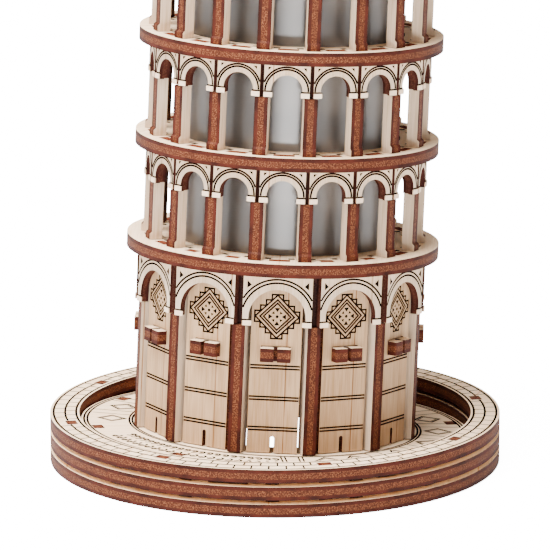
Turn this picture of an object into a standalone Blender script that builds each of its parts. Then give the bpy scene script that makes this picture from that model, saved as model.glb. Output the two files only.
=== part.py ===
"""Leaning round arcaded tower, a lamp kit of laser-cut board, as separate glued and slotted pieces.

Metres, +Z up. The origin is the centre of the base's underside, and a ground-storey bay faces -Y.
The base is level, and the tower leans from the middle of its sunken floor.
"""
import math

import bmesh
import bpy
from mathutils import Matrix, Vector

# Sheets and fits
SHEET = 0.0040              # board of rings, ribs, fins, floor and snap disc
THIN_SHEET = 0.0025         # board of the wall panels
FILM = 0.0008               # frosted diffuser
CLEARANCE = 0.0003          # air between pieces that touch or slot together

# Base
BASE_RADIUS = 0.0675
RIM_WIDTH = 0.0087
RIM_GAP = 0.0012            # air between two rim rings
SPACER_WEB = 0.0010
LUG_SETBACK = 0.0023        # rim's edge to the ends of the lugs
LUG_WIDTH = 0.0040
LONG_LUG_WIDTH = 0.0117
LUG_ANGLES = (8.0, 31.0)    # degrees past a rib
LONG_LUG_ANGLE = 19.5
RIB_COUNT = 8
FIRST_RIB_ANGLE = 14.9
RIB_SETBACK = 0.0025        # lamp hole to the ribs' inner ends
FINGER_INSET = 0.0035       # rim's inner edge to the middle of a rib's finger
FINGER_DEPTH = 0.0029
FLOOR_TAB_INSET = 0.0039    # floor's edge to the middle of a rib's tab
FLOOR_TAB_DEPTH = 0.0027

# Lean
LEAN_ANGLE = 3.7            # degrees from upright
LEAN_DIRECTION = 51.4       # degrees from +X towards +Y
FLOOR_DROP = 0.0046         # floor's top below the rim's top, on the axis
FLOOR_GAP = 0.0006          # air between the floor's edge and the rim
LAMP_HOLE_INSET = 0.0060    # fins' inner edges to the lamp hole

# Ground storey
GROUND_BAYS = 12
GROUND_HEIGHT = 0.0538
FIN_STANDOUT = 0.0026       # panels' faces to the fins' outer edges
FIN_INSET = 0.0008          # panels' backs to the fins' inner edges
FIN_TAB_DEPTH = 0.0032
PANEL_FACE = 0.0403         # axis to a panel's outer face
PANEL_GAP = 0.00061         # air between a panel's back corner and the fin
ARCH_GAP = 0.00065          # arch plate to the middle of the fin, at its back
ARCH_PIER = 0.00175         # arch plate's side to its opening
ARCH_HEAD = 0.0151          # underside of the capitals to the storey's top
ARCH_STILT = 0.0024         # capital's underside to the arch's centre
SLIT_WIDTH = 0.0012
SLIT_HEIGHT = 0.0052
HOOK_HEIGHT = 0.0280        # floor to the underside of the snap disc
HOOK_NECK = 0.0080
HOOK_BARB = 0.0005          # how far a hook's head is wider than its neck, each side
HOOK_SPLIT = 0.0011
HOOK_REACH = 0.0030         # how far the hooks stand out of the wall
SNAP_DISC_INSET = 0.0015    # fins' inner edges to the disc
SNAP_RING_WIDTH = 0.0115

# Galleries
GALLERIES = 6
GALLERY_BAYS = 18
GALLERY_HEIGHT = 0.02715
GALLERY_SETBACK = 0.0014    # ground storey's arch plates to the arcades' faces
ARCADE_DEPTH = 0.0035
GALLERY_HEAD = 0.00985      # underside of the capitals to the storey's top
GALLERY_CAPITAL = 0.00067   # how far a capital reaches past its post
GALLERY_ARCH_STILT = 0.0019
CORNICE_OVERHANG = 0.0038   # past the faces below it

# Light well
DIFFUSER_GAP = 0.0049       # arcades' backs to the frosted tube
WELL_RING_WIDTH = 0.0075    # core posts' inner faces to the well hole
POST_COUNT = 3
FIRST_POST_ANGLE = -118.3
POST_GAP = 0.0007           # frosted tube's inside to the core posts

# Belfry
BELFRY_BAYS = 12
BELFRY_HEIGHT = 0.0285
BELFRY_SETBACK = 0.0124     # galleries' faces to the belfry's face
BELFRY_HEAD = 0.0110
BELFRY_CAPITAL = 0.0009
BELFRY_ROOF_WIDTH = 0.0135  # belfry's inner face to the hole in its roof

# Facets of the curves
RIM_SIDES = 56
HOLE_SIDES = 32
ARCH_SIDES = 6

# Sizes that follow from the ones above
RIM_INNER_RADIUS = BASE_RADIUS - RIM_WIDTH
SPACER_LUG_RADIUS = BASE_RADIUS - LUG_SETBACK
FINGER_RADIUS = RIM_INNER_RADIUS + FINGER_INSET
FLOOR_RADIUS = RIM_INNER_RADIUS - FLOOR_GAP
FLOOR_TAB_RADIUS = FLOOR_RADIUS - FLOOR_TAB_INSET
BASE_HEIGHT = 3 * SHEET + 2 * RIM_GAP
FLOOR_Z = BASE_HEIGHT - FLOOR_DROP
LEAN = math.radians(LEAN_ANGLE)
LEAN_HEADING = math.radians(LEAN_DIRECTION)
FIRST_RIB = math.radians(FIRST_RIB_ANGLE)
HALF_BAY = math.pi / GROUND_BAYS
PANEL_BACK = PANEL_FACE - THIN_SHEET
FIN_RADIUS = PANEL_FACE + FIN_STANDOUT
FIN_INNER_RADIUS = PANEL_BACK - FIN_INSET
LAMP_HOLE_RADIUS = FIN_INNER_RADIUS - LAMP_HOLE_INSET
RIB_INNER_RADIUS = LAMP_HOLE_RADIUS + RIB_SETBACK
PANEL_WIDTH = 2 * (PANEL_BACK * math.tan(HALF_BAY) - SHEET / 2 / math.cos(HALF_BAY) - PANEL_GAP)
ARCH_FACE = PANEL_FACE + THIN_SHEET
ARCH_WIDTH = 2 * (PANEL_FACE * math.tan(HALF_BAY) - ARCH_GAP)
ARCH_RADIUS = ARCH_WIDTH / 2 - ARCH_PIER
ARCH_FOOT = GROUND_HEIGHT - ARCH_HEAD
HOOK_HEAD = HOOK_NECK + 2 * HOOK_BARB
SNAP_DISC_RADIUS = FIN_INNER_RADIUS - SNAP_DISC_INSET
SNAP_HOLE_RADIUS = SNAP_DISC_RADIUS - SNAP_RING_WIDTH
GALLERY_FACE = ARCH_FACE - GALLERY_SETBACK
GALLERY_ARCH_FOOT = GALLERY_HEIGHT - GALLERY_HEAD
DIFFUSER_RADIUS = GALLERY_FACE - ARCADE_DEPTH - DIFFUSER_GAP
POST_RADIUS = DIFFUSER_RADIUS - FILM - POST_GAP - SHEET / 2
WELL_HOLE_RADIUS = POST_RADIUS - SHEET / 2 - WELL_RING_WIDTH
BELFRY_FACE = GALLERY_FACE - BELFRY_SETBACK
BELFRY_ARCH_FOOT = BELFRY_HEIGHT - BELFRY_HEAD
BELFRY_ROOF_HOLE_RADIUS = BELFRY_FACE - ARCADE_DEPTH - BELFRY_ROOF_WIDTH
STOREY_PITCH = GALLERY_HEIGHT + SHEET
FIRST_CORNICE_TOP = GROUND_HEIGHT + SHEET
WELL_HEIGHT = GALLERIES * STOREY_PITCH - SHEET
MERGE = 0.000002


def clear_scene():
    for thing in list(bpy.data.objects):
        bpy.data.objects.remove(thing, do_unlink=True)


def make_collection(name):
    collection = bpy.data.collections.new(name)
    bpy.context.scene.collection.children.link(collection)
    return collection


def make_material(name, colour, roughness):
    material = bpy.data.materials.new(name)
    material.use_nodes = True
    shader = material.node_tree.nodes["Principled BSDF"]
    shader.inputs["Base Color"].default_value = (*colour, 1.0)
    shader.inputs["Roughness"].default_value = roughness
    shader.inputs["Metallic"].default_value = 0.0
    return material


def arc(radius, start, end, sides, centre=(0.0, 0.0)):
    """Points from start to end, in radians, both ends included."""
    points = []
    for step in range(sides + 1):
        angle = start + (end - start) * step / sides
        points.append((centre[0] + radius * math.cos(angle), centre[1] + radius * math.sin(angle)))
    return points


def circle(radius, sides):
    return arc(radius, 0.0, 2 * math.pi, sides)[:-1]


def box_at(radius, angle, depth, width):
    """Corners of a rectangle that is depth long along the radius and width across it."""
    outward = Vector((math.cos(angle), math.sin(angle)))
    across = Vector((-outward.y, outward.x))
    corners = ((-0.5, -0.5), (0.5, -0.5), (0.5, 0.5), (-0.5, 0.5))
    return [tuple(outward * (radius + u * depth) + across * (v * width)) for u, v in corners]


def angles_round(count, first=0.0):
    return [first + 2 * math.pi * step / count for step in range(count)]


def bay_angles(count):
    """Bay middles, the first of them facing -Y."""
    return angles_round(count, -math.pi / 2)


def toothed_circle(radius, teeth, sides):
    """A circle with rectangular teeth or notches: (angle, width, radius of its end) each."""
    points = []
    teeth = sorted(teeth)
    for tooth, following in zip(teeth, teeth[1:] + [(teeth[0][0] + 2 * math.pi, *teeth[0][1:])]):
        angle, width, end_radius = tooth
        root = math.asin(width / 2 / radius)
        tip = math.asin(width / 2 / end_radius)
        points += arc(radius, angle - root, angle - root, 1)[:1]
        points += arc(end_radius, angle - tip, angle + tip, 1)
        start = angle + root
        end = following[0] - math.asin(following[1] / 2 / radius)
        span_sides = max(1, round(sides * (end - start) / (2 * math.pi)))
        points += arc(radius, start, end, span_sides)[:-1]
    return points


def cut_sheet(name, loops, thickness):
    """Mesh of a flat piece: the first loop is its outline and the others are holes, from z 0 up."""
    curve = bpy.data.curves.new(name + "_outline", "CURVE")
    curve.dimensions = "2D"
    curve.fill_mode = "BOTH"
    curve.extrude = thickness / 2
    for loop in loops:
        spline = curve.splines.new("POLY")
        spline.points.add(len(loop) - 1)
        for point, (x, y) in zip(spline.points, loop):
            point.co = (x, y, 0.0, 1.0)
        spline.use_cyclic_u = True
    guide = bpy.data.objects.new(name + "_outline", curve)
    bpy.context.scene.collection.objects.link(guide)
    bpy.context.view_layer.update()
    mesh = bpy.data.meshes.new_from_object(guide.evaluated_get(bpy.context.evaluated_depsgraph_get()))
    bpy.data.objects.remove(guide, do_unlink=True)
    shape = bmesh.new()
    shape.from_mesh(mesh)
    bmesh.ops.remove_doubles(shape, verts=shape.verts, dist=MERGE)
    bmesh.ops.translate(shape, verts=shape.verts, vec=(0.0, 0.0, thickness / 2))
    bmesh.ops.recalc_face_normals(shape, faces=shape.faces)
    shape.to_mesh(mesh)
    shape.free()
    mesh.name = name
    return mesh


def stand_up(mesh, depth_start):
    """Turn a flat piece upright: its x stays, its y becomes height, and it fills depth from depth_start.

    The depth of the piece is along -y, so a wall piece faces -Y and its outer face is the farther one.
    """
    mesh.transform(Matrix.Translation((0.0, -depth_start, 0.0)) @ Matrix.Rotation(math.pi / 2, 4, "X"))
    return mesh


def place(name, mesh, material, collection, height=0.0, angle=0.0, parent=None):
    piece = bpy.data.objects.new(name, mesh)
    if not mesh.materials:
        mesh.materials.append(material)
    piece.location = (0.0, 0.0, height)
    piece.rotation_euler = (0.0, 0.0, angle)
    piece.parent = parent
    collection.objects.link(piece)
    return piece


def slots_at(radius, angles, depth, width):
    """Holes for tabs of this size, with the clearance all round."""
    return [box_at(radius, angle, depth + 2 * CLEARANCE, width + 2 * CLEARANCE) for angle in angles]


# Base: rim rings, spacers and ribs

def rib_angles():
    return angles_round(RIB_COUNT, FIRST_RIB)


def make_rim(collection, board):
    rim_slots = slots_at(FINGER_RADIUS, rib_angles(), FINGER_DEPTH, SHEET)
    closed = [circle(BASE_RADIUS, RIM_SIDES), circle(RIM_INNER_RADIUS, RIM_SIDES), *rim_slots]
    notch_end = FINGER_RADIUS + FINGER_DEPTH / 2 + CLEARANCE
    notches = [(angle, SHEET + 2 * CLEARANCE, notch_end) for angle in rib_angles()]
    notched = [circle(BASE_RADIUS, RIM_SIDES), toothed_circle(RIM_INNER_RADIUS, notches, RIM_SIDES)]
    level_pitch = SHEET + RIM_GAP
    for level, (name, loops) in enumerate((("bottom", notched), ("middle", closed), ("top", closed))):
        mesh = cut_sheet("rim_ring_" + name, loops, SHEET)
        place("rim_ring_" + name, mesh, board, collection, level * level_pitch)


def make_spacers(collection, board):
    thickness = RIM_GAP - 2 * CLEARANCE
    hole = circle(RIM_INNER_RADIUS + CLEARANCE, RIM_SIDES)
    web_radius = RIM_INNER_RADIUS + CLEARANCE + SPACER_WEB
    for level, name in enumerate(("lower", "upper")):
        lugs = []
        for rib in rib_angles():
            lugs += [(rib + math.radians(angle), LUG_WIDTH, SPACER_LUG_RADIUS) for angle in LUG_ANGLES]
            if name == "upper":
                lugs.append((rib + math.radians(LONG_LUG_ANGLE), LONG_LUG_WIDTH, SPACER_LUG_RADIUS))
        mesh = cut_sheet("spacer_ring_" + name, [toothed_circle(web_radius, lugs, RIM_SIDES), hole], thickness)
        height = SHEET + CLEARANCE + level * (SHEET + RIM_GAP)
        place("spacer_ring_" + name, mesh, board, collection, height)


def floor_top(radius, angle):
    """World height of the leaning floor's top over a point of the base."""
    return FLOOR_Z - radius * math.tan(LEAN) * math.cos(angle - LEAN_HEADING)


def make_ribs(collection, board):
    side_tilt = SHEET / 2 * math.tan(LEAN)
    floor_thickness = SHEET / math.cos(LEAN)
    shoulder_radius = RIM_INNER_RADIUS - CLEARANCE
    finger_start = FINGER_RADIUS - FINGER_DEPTH / 2
    finger_end = FINGER_RADIUS + FINGER_DEPTH / 2
    tab_start = FLOOR_TAB_RADIUS - FLOOR_TAB_DEPTH / 2
    tab_end = FLOOR_TAB_RADIUS + FLOOR_TAB_DEPTH / 2
    for number, angle in enumerate(rib_angles(), start=1):
        def under_floor(radius, heading=angle):
            return floor_top(radius, heading) - floor_thickness - side_tilt - CLEARANCE

        tab_top = floor_top(FLOOR_TAB_RADIUS, angle)
        outline = [
            (RIB_INNER_RADIUS, 0.0), (finger_end, 0.0), (finger_end, BASE_HEIGHT),
            (finger_start, BASE_HEIGHT), (finger_start, SHEET), (shoulder_radius, SHEET),
            (shoulder_radius, under_floor(shoulder_radius)), (tab_end, under_floor(tab_end)),
            (tab_end, tab_top), (tab_start, tab_top), (tab_start, under_floor(tab_start)),
            (RIB_INNER_RADIUS, under_floor(RIB_INNER_RADIUS)),
        ]
        mesh = stand_up(cut_sheet("rib_%02d" % number, [outline], SHEET), -SHEET / 2)
        place("rib_%02d" % number, mesh, board, collection, angle=angle)


# Leaning floor and ground storey

def make_tower_axis(collection):
    axis = bpy.data.objects.new("tower_axis", None)
    axis.empty_display_size = 0.05
    axis.location = (0.0, 0.0, FLOOR_Z)
    tip_axis = Vector((-math.sin(LEAN_HEADING), math.cos(LEAN_HEADING), 0.0))
    axis.rotation_euler = Matrix.Rotation(LEAN, 3, tip_axis).to_euler()
    collection.objects.link(axis)
    bpy.context.view_layer.update()
    return axis


def fin_angles():
    return [angle + HALF_BAY for angle in bay_angles(GROUND_BAYS)]


def fin_tab_radius():
    return FIN_INNER_RADIUS + FIN_TAB_DEPTH / 2 + CLEARANCE


def make_floor(collection, board, axis):
    holes = [circle(LAMP_HOLE_RADIUS, HOLE_SIDES)]
    to_tower = axis.matrix_world.inverted()
    for angle in rib_angles():
        middle = floor_top(FLOOR_TAB_RADIUS, angle) - SHEET / 2
        tab = Vector((FLOOR_TAB_RADIUS * math.cos(angle), FLOOR_TAB_RADIUS * math.sin(angle), middle))
        tab = to_tower @ tab
        holes += slots_at(tab.xy.length, [math.atan2(tab.y, tab.x)], FLOOR_TAB_DEPTH, SHEET)
    holes += slots_at(fin_tab_radius(), fin_angles(), FIN_TAB_DEPTH, SHEET)
    mesh = cut_sheet("leaning_floor", [circle(FLOOR_RADIUS, RIM_SIDES), *holes], SHEET)
    place("leaning_floor", mesh, board, collection, -SHEET, parent=axis)


def make_fins(collection, board, axis):
    tab_start = fin_tab_radius() - FIN_TAB_DEPTH / 2
    tab_end = fin_tab_radius() + FIN_TAB_DEPTH / 2
    behind_plates = PANEL_FACE - CLEARANCE - SHEET / 2 * math.sin(HALF_BAY)
    notch_radius = behind_plates / math.cos(HALF_BAY)
    notch_foot = ARCH_FOOT - CLEARANCE
    top = GROUND_HEIGHT - CLEARANCE
    outline = [
        (tab_start, -SHEET), (tab_end, -SHEET), (tab_end, CLEARANCE), (FIN_RADIUS, CLEARANCE),
        (FIN_RADIUS, notch_foot), (notch_radius, notch_foot), (notch_radius, top),
        (FIN_INNER_RADIUS, top), (FIN_INNER_RADIUS, CLEARANCE), (tab_start, CLEARANCE),
    ]
    mesh = stand_up(cut_sheet("wall_fin", [outline], SHEET), -SHEET / 2)
    for number, angle in enumerate(fin_angles(), start=1):
        place("wall_fin_%02d" % number, mesh, board, collection, angle=angle, parent=axis)


def panel_loops():
    half = PANEL_WIDTH / 2
    slit_spring = SLIT_HEIGHT - SLIT_WIDTH / 2
    window_half = HOOK_NECK / 2 + CLEARANCE
    window_low = HOOK_HEIGHT - CLEARANCE
    window_high = HOOK_HEIGHT + SHEET + CLEARANCE
    outline = [(-half, CLEARANCE), (-SLIT_WIDTH / 2, CLEARANCE)]
    outline += arc(SLIT_WIDTH / 2, math.pi, 0.0, 4, (0.0, slit_spring))
    outline += [(SLIT_WIDTH / 2, CLEARANCE), (half, CLEARANCE)]
    top = GROUND_HEIGHT - CLEARANCE
    outline += [(half, top), (-half, top)]
    window = [(-window_half, window_low), (window_half, window_low),
              (window_half, window_high), (-window_half, window_high)]
    return [outline, window]


def arch_loop(width, foot, radius, top):
    """Outline of a plate with a round arch cut in its lower edge."""
    centre = foot + ARCH_STILT
    outline = [(width / 2, top), (-width / 2, top), (-width / 2, foot), (-radius, foot)]
    outline += arc(radius, math.pi, 0.0, 2 * ARCH_SIDES, (0.0, centre))
    outline += [(radius, foot), (width / 2, foot)]
    return outline


def join_pieces(piece, other, cutters):
    """Weld other to piece for good, and keep other out of the model."""
    cutters.objects.link(other)
    other.hide_render = True
    other.display_type = "WIRE"
    union = piece.modifiers.new("glued", "BOOLEAN")
    union.operation = "UNION"
    union.solver = "EXACT"
    union.object = other
    bpy.context.view_layer.update()
    depsgraph = bpy.context.evaluated_depsgraph_get()
    mesh = bpy.data.meshes.new_from_object(piece.evaluated_get(depsgraph))
    piece.modifiers.remove(union)
    return mesh


def make_wall_bays(collection, cutters, board, axis):
    """A panel with its arch plate glued over its head, twelve times."""
    panel = stand_up(cut_sheet("wall_panel", panel_loops(), THIN_SHEET), PANEL_FACE - THIN_SHEET)
    top = GROUND_HEIGHT - CLEARANCE
    arch = cut_sheet("wall_arch", [arch_loop(ARCH_WIDTH, ARCH_FOOT, ARCH_RADIUS, top)], ARCH_FACE - PANEL_FACE)
    arch = stand_up(arch, PANEL_FACE)
    panel_guide = bpy.data.objects.new("wall_panel_blank", panel)
    cutters.objects.link(panel_guide)
    panel_guide.hide_render = True
    panel_guide.display_type = "WIRE"
    mesh = join_pieces(panel_guide, bpy.data.objects.new("wall_arch_blank", arch), cutters)
    mesh.name = "wall_bay"
    mesh.materials.clear()
    for number, angle in enumerate(bay_angles(GROUND_BAYS), start=1):
        place("wall_bay_%02d" % number, mesh, board, collection, angle=angle + math.pi / 2, parent=axis)


def make_snap_disc(collection, board, axis):
    outline = []
    head_start = PANEL_FACE + CLEARANCE
    head_end = PANEL_FACE + HOOK_REACH
    neck = HOOK_NECK / 2
    head = HOOK_HEAD / 2
    split = HOOK_SPLIT / 2
    prong = [(head_start, neck), (head_start, head), (head_end, head - CLEARANCE), (head_end, split),
             (SNAP_DISC_RADIUS, split)]
    prong = [(math.sqrt(SNAP_DISC_RADIUS ** 2 - neck ** 2), neck), *prong]
    hook = [(x, -y) for x, y in prong] + list(reversed(prong))
    for angle in bay_angles(GROUND_BAYS):
        turn = Matrix.Rotation(angle, 2)
        outline += [tuple(turn @ Vector(point)) for point in hook]
    mesh = cut_sheet("snap_disc", [outline, circle(SNAP_HOLE_RADIUS, HOLE_SIDES)], SHEET)
    place("snap_disc", mesh, board, collection, HOOK_HEIGHT, parent=axis)


# Galleries, cornices and belfry

def arcade_mesh(name, bays, face, foot, capital, height):
    """A round arcade on flat bays: every bay is cut flat, mitred and set beside the next."""
    half_turn = math.pi / bays
    outer_half = face * math.tan(half_turn)
    mitre = ARCADE_DEPTH * math.tan(half_turn)
    leg = outer_half - SHEET / 2 / math.cos(half_turn)
    radius = leg - capital
    top = height - CLEARANCE
    outline = [(-outer_half, CLEARANCE), (-leg, CLEARANCE), (-leg, foot), (-radius, foot)]
    outline += arc(radius, math.pi, 0.0, ARCH_SIDES, (0.0, foot + GALLERY_ARCH_STILT))
    outline += [(radius, foot), (leg, foot), (leg, CLEARANCE), (outer_half, CLEARANCE), (outer_half, top)]
    outline += [(-outer_half, top)]
    bay = stand_up(cut_sheet(name + "_bay", [outline], ARCADE_DEPTH), face - ARCADE_DEPTH)
    arcade = bmesh.new()
    for angle in bay_angles(bays):
        first_vertex = len(arcade.verts)
        arcade.from_mesh(bay)
        arcade.verts.ensure_lookup_table()
        new_vertices = arcade.verts[first_vertex:]
        for vertex in new_vertices:
            on_inner_face = vertex.co.y > -face + ARCADE_DEPTH / 2
            beside_opening = abs(vertex.co.x) > leg - CLEARANCE
            if on_inner_face and beside_opening:
                vertex.co.x -= math.copysign(mitre, vertex.co.x)
        bmesh.ops.rotate(arcade, verts=new_vertices, matrix=Matrix.Rotation(angle + math.pi / 2, 3, "Z"))
    drop_mitre_faces(arcade, bays)
    bmesh.ops.remove_doubles(arcade, verts=arcade.verts, dist=MERGE)
    bmesh.ops.recalc_face_normals(arcade, faces=arcade.faces)
    mesh = bpy.data.meshes.new(name)
    arcade.to_mesh(mesh)
    arcade.free()
    return mesh


def drop_mitre_faces(arcade, bays):
    """Take out the faces where two bays meet, so that the bays become one body."""
    meeting = []
    for face in arcade.faces:
        centre = face.calc_center_median()
        turn = (math.atan2(centre.y, centre.x) + math.pi / 2) / (2 * math.pi / bays) - 0.5
        off_mitre = abs(turn - round(turn))
        sideways = abs(face.normal.xy.normalized().dot(centre.xy.normalized())) if face.normal.xy.length else 1.0
        if off_mitre < 0.001 and sideways < 0.001 and abs(face.normal.z) < 0.001:
            meeting.append(face)
    bmesh.ops.delete(arcade, geom=meeting, context="FACES")


def make_cornices(collection, board, axis):
    ground_radius = ARCH_FACE + CORNICE_OVERHANG
    gallery_radius = GALLERY_FACE + CORNICE_OVERHANG
    post_slots = slots_at(POST_RADIUS, angles_round(POST_COUNT, math.radians(FIRST_POST_ANGLE)), SHEET, SHEET)
    film_hole = circle(DIFFUSER_RADIUS + 2 * CLEARANCE, HOLE_SIDES)
    well_hole = circle(WELL_HOLE_RADIUS, HOLE_SIDES)
    for level in range(GALLERIES + 1):
        radius = ground_radius if level == 0 else gallery_radius
        at_end = level in (0, GALLERIES)
        holes = [well_hole, *post_slots] if at_end else [film_hole]
        mesh = cut_sheet("cornice_ring_%d" % (level + 1), [circle(radius, RIM_SIDES), *holes], SHEET)
        height = GROUND_HEIGHT + level * STOREY_PITCH
        place("cornice_ring_%d" % (level + 1), mesh, board, collection, height, parent=axis)


def make_galleries(collection, board, axis):
    mesh = arcade_mesh("gallery_arcade", GALLERY_BAYS, GALLERY_FACE, GALLERY_ARCH_FOOT, GALLERY_CAPITAL,
                       GALLERY_HEIGHT)
    for level in range(GALLERIES):
        height = FIRST_CORNICE_TOP + level * STOREY_PITCH
        place("gallery_arcade_%d" % (level + 1), mesh, board, collection, height, parent=axis)


def make_light_well(collection, film, board, axis):
    tube = cut_sheet("diffuser_tube", [circle(DIFFUSER_RADIUS, RIM_SIDES),
                                       circle(DIFFUSER_RADIUS - FILM, RIM_SIDES)], WELL_HEIGHT - 2 * CLEARANCE)
    place("diffuser_tube", tube, film, collection, FIRST_CORNICE_TOP + CLEARANCE, parent=axis)
    post_length = WELL_HEIGHT + 2 * SHEET
    half = SHEET / 2
    outline = [(-half, 0.0), (half, 0.0), (half, post_length), (-half, post_length)]
    post = stand_up(cut_sheet("core_post", [outline], SHEET), POST_RADIUS - SHEET / 2)
    for number, angle in enumerate(angles_round(POST_COUNT, math.radians(FIRST_POST_ANGLE)), start=1):
        place("core_post_%d" % number, post, board, collection, GROUND_HEIGHT, angle + math.pi / 2, axis)


def make_belfry(collection, board, axis):
    floor_height = FIRST_CORNICE_TOP + GALLERIES * STOREY_PITCH
    mesh = arcade_mesh("belfry_arcade", BELFRY_BAYS, BELFRY_FACE, BELFRY_ARCH_FOOT, BELFRY_CAPITAL,
                       BELFRY_HEIGHT)
    place("belfry_arcade", mesh, board, collection, floor_height, parent=axis)
    roof = cut_sheet("belfry_roof", [circle(BELFRY_FACE + CORNICE_OVERHANG, RIM_SIDES),
                                     circle(BELFRY_ROOF_HOLE_RADIUS, HOLE_SIDES)], SHEET)
    place("belfry_roof", roof, board, collection, floor_height + BELFRY_HEIGHT, parent=axis)


def build():
    clear_scene()
    tower = make_collection("leaning_tower_lamp")
    cutters = make_collection("glued_blanks")
    rim_board = make_material("engraved_rim_board", (0.82, 0.70, 0.58), 0.6)
    floor_board = make_material("engraved_floor_board", (0.80, 0.69, 0.58), 0.6)
    spacer_card = make_material("burnt_spacer_card", (0.16, 0.07, 0.05), 0.8)
    burnt_edge = make_material("burnt_edge_board", (0.31, 0.10, 0.06), 0.7)
    wall_board = make_material("engraved_wall_board", (0.66, 0.56, 0.47), 0.6)
    cornice_board = make_material("cornice_board", (0.80, 0.66, 0.54), 0.6)
    arcade_board = make_material("arcade_board", (0.72, 0.60, 0.50), 0.6)
    frosted_film = make_material("frosted_film", (0.75, 0.75, 0.75), 0.5)
    make_rim(tower, rim_board)
    make_spacers(tower, spacer_card)
    make_ribs(tower, burnt_edge)
    axis = make_tower_axis(tower)
    make_floor(tower, floor_board, axis)
    make_fins(tower, burnt_edge, axis)
    make_wall_bays(tower, cutters, wall_board, axis)
    make_snap_disc(tower, burnt_edge, axis)
    make_cornices(tower, cornice_board, axis)
    make_galleries(tower, arcade_board, axis)
    make_light_well(tower, frosted_film, burnt_edge, axis)
    make_belfry(tower, arcade_board, axis)


build()
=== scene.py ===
import math

import bmesh
import bpy
from mathutils import Matrix, Vector


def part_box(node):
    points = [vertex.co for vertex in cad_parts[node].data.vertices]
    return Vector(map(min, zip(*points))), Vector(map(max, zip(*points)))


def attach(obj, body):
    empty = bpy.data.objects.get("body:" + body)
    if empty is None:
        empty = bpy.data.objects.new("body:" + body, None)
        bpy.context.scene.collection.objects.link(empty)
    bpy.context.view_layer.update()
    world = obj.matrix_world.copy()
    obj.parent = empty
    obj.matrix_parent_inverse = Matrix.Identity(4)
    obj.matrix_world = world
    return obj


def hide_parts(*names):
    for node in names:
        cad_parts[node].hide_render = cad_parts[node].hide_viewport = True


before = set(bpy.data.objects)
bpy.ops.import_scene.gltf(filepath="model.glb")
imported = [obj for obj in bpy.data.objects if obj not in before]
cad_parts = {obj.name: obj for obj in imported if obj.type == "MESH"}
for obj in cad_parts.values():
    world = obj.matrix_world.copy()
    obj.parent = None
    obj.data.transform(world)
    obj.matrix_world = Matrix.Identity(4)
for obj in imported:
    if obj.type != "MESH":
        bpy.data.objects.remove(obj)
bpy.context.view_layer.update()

# ---------------------------------------------------------------------------------------------
# Camera: a long lens, a little above the base and a touch to the right of the front bay. The top
# of the tower runs out of the frame.
# ---------------------------------------------------------------------------------------------
_, base_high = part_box("rim_ring_top")
base_radius = base_high.x
base_top = base_high.z
camera_turn = math.radians(1.6)
camera_rise = math.radians(14.95)
camera_pitch = math.radians(13.66)
camera_distance = 26.68 * base_radius
lens_data = bpy.data.cameras.new("long_lens")
lens_data.sensor_width = 36.0
lens_data.lens = 392.4
lens_data.clip_end = 20.0
camera = bpy.data.objects.new("long_lens", lens_data)
camera.location = (
    camera_distance * math.cos(camera_rise) * math.sin(camera_turn),
    -camera_distance * math.cos(camera_rise) * math.cos(camera_turn),
    base_top + camera_distance * math.sin(camera_rise),
)
camera.rotation_euler = (math.pi / 2 - camera_pitch, 0.0, camera_turn)
bpy.context.scene.collection.objects.link(camera)
bpy.context.scene.camera = camera


# ---------------------------------------------------------------------------------------------
# Board: 4 mm three-ply board with a pale basswood veneer, cut by laser. A pale face shows fine
# grain and a brown mineral streak here and there. The laser burns the cut edge, so the two outer
# plies go dark red-brown and the thick core, end grain to the beam, a speckled orange-brown.
# ---------------------------------------------------------------------------------------------
def linear(hex_colour):
    """An sRGB hex colour as the linear colour that a shader wants."""
    channels = [int(hex_colour[start:start + 2], 16) / 255 for start in (1, 3, 5)]
    return [c / 12.92 if c <= 0.04045 else ((c + 0.055) / 1.055) ** 2.4 for c in channels] + [1.0]


def add(tree, kind, feeds=(), stops=(), **settings):
    """Add a node with its settings, which are its properties.

    Feeds pairs an input with a node, an output, a number or a hex colour. Stops are the places and
    hex colours of a colour ramp.
    """
    node = tree.nodes.new(kind)
    for name, value in settings.items():
        setattr(node, name, value)
    for name, source in feeds:
        if isinstance(source, bpy.types.Node):
            source = source.outputs[0]
        if isinstance(source, bpy.types.NodeSocket):
            tree.links.new(source, node.inputs[name])
        else:
            node.inputs[name].default_value = linear(source) if isinstance(source, str) else source
    for number, (place, colour) in enumerate(stops):
        bands = node.color_ramp.elements
        if number == len(bands):
            bands.new(1.0)
        bands[number].position = place
        bands[number].color = linear(colour)
    return node


def finish(name):
    """A new material, its node tree and its Principled shader."""
    material = bpy.data.materials.new(name)
    material.use_nodes = True
    return material, material.node_tree, material.node_tree.nodes["Principled BSDF"]


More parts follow.
